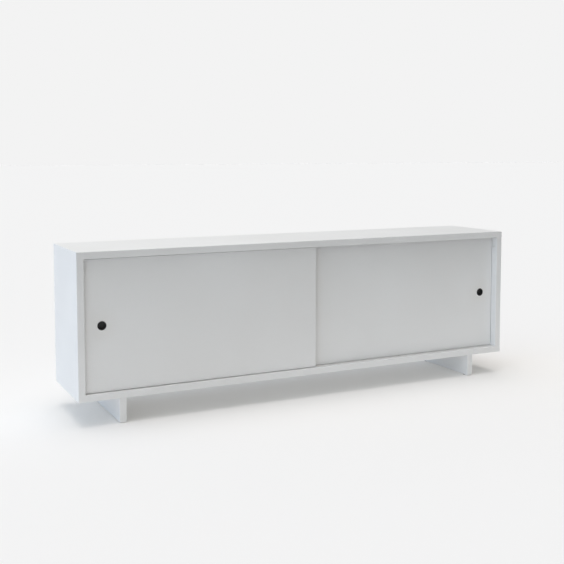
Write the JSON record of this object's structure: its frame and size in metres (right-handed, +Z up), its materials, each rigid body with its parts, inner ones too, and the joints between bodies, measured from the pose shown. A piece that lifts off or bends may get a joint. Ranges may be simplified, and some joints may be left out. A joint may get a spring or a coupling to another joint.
{
  "type": "media cabinet with sliding doors",
  "caption": "Low white lacquered media cabinet on plank legs, with bypass sliding doors that have round black finger pulls, shelves and cable ports inside.",
  "frame": {"origin": "on the floor, below the middle of the cabinet", "axes": "+Z up, doors face -Y, +X to the right of someone who faces the doors"},
  "size_m": [1.83, 0.345, 0.61],
  "materials": {
    "white_lacquer": "satin white lacquer over MDF, edges softened",
    "white_board": "white melamine board",
    "back_board": "thin white-faced hardboard",
    "beech": "raw beech",
    "black_pull": "black satin pressed metal",
    "track_alloy": "anodised, drawn lines along its length",
    "grey_nylon": "moulded nylon",
    "white_nylon": "moulded nylon",
    "white_track": "extruded, drawn lines along its length",
    "zinc_steel": "zinc plated",
    "port_plastic": "fine moulded texture",
    "clear_rubber": "soft translucent bumper rubber",
    "pad_felt": "pressed felt"
  },
  "bodies": {
    "cabinet": {"top_panel": "white_lacquer", "bottom_panel": "white_lacquer", "left_side_panel": "white_lacquer", "right_side_panel": "white_lacquer", "left_leg": "white_lacquer", "right_leg": "white_lacquer", "centre_divider": "white_board", "left_shelf": "white_board", "right_shelf": "white_board", "left_back_panel": "back_board", "right_back_panel": "back_board", "left_back_screws": "zinc_steel", "right_back_screws": "zinc_steel", "left_cable_grommet": "port_plastic", "right_cable_grommet": "port_plastic", "shelf_pins": "zinc_steel", "corner_biscuits": "beech", "divider_dowels": "beech", "upper_track": "track_alloy", "lower_track": "white_track", "track_screws": "zinc_steel", "leg_screws": "zinc_steel", "foot_pads": "pad_felt", "door_bumpers": "clear_rubber"},
    "left_door": {"left_door_panel": "white_lacquer", "left_finger_pull": "black_pull", "left_top_guides": "white_nylon", "left_roller_housings": "grey_nylon", "left_roller_axles": "zinc_steel"},
    "right_door": {"right_door_panel": "white_lacquer", "right_finger_pull": "black_pull", "right_top_guides": "white_nylon", "right_roller_housings": "grey_nylon", "right_roller_axles": "zinc_steel"},
    "left_outer_roller": {"left_outer_roller": "white_nylon"},
    "left_inner_roller": {"left_inner_roller": "white_nylon"},
    "right_outer_roller": {"right_outer_roller": "white_nylon"},
    "right_inner_roller": {"right_inner_roller": "white_nylon"}
  },
  "joints": [
    {"name": "left_door_slide", "type": "slide", "parent": "cabinet", "child": "left_door", "axis": [1, 0, 0], "range_m": [0, 0.871]},
    {"name": "right_door_slide", "type": "slide", "parent": "cabinet", "child": "right_door", "axis": [1, 0, 0], "range_m": [-0.871, 0]},
    {"name": "left_outer_roller_spin", "type": "hinge", "parent": "left_door", "child": "left_outer_roller", "pos_m": [-0.808, -0.1525, 0.1248], "axis": [0, 1, 0], "continuous": true},
    {"name": "left_inner_roller_spin", "type": "hinge", "parent": "left_door", "child": "left_inner_roller", "pos_m": [-0.063, -0.1525, 0.1248], "axis": [0, 1, 0], "continuous": true},
    {"name": "right_outer_roller_spin", "type": "hinge", "parent": "right_door", "child": "right_outer_roller", "pos_m": [0.808, -0.1335, 0.1248], "axis": [0, 1, 0], "continuous": true},
    {"name": "right_inner_roller_spin", "type": "hinge", "parent": "right_door", "child": "right_inner_roller", "pos_m": [0.063, -0.1335, 0.1248], "axis": [0, 1, 0], "continuous": true}
  ],
  "couplings": [
    {"joint": "left_outer_roller_spin", "follows": "left_door_slide", "rad_per_m": 105.26},
    {"joint": "left_inner_roller_spin", "follows": "left_door_slide", "rad_per_m": 105.26},
    {"joint": "right_outer_roller_spin", "follows": "right_door_slide", "rad_per_m": 105.26},
    {"joint": "right_inner_roller_spin", "follows": "right_door_slide", "rad_per_m": 105.26}
  ]
}
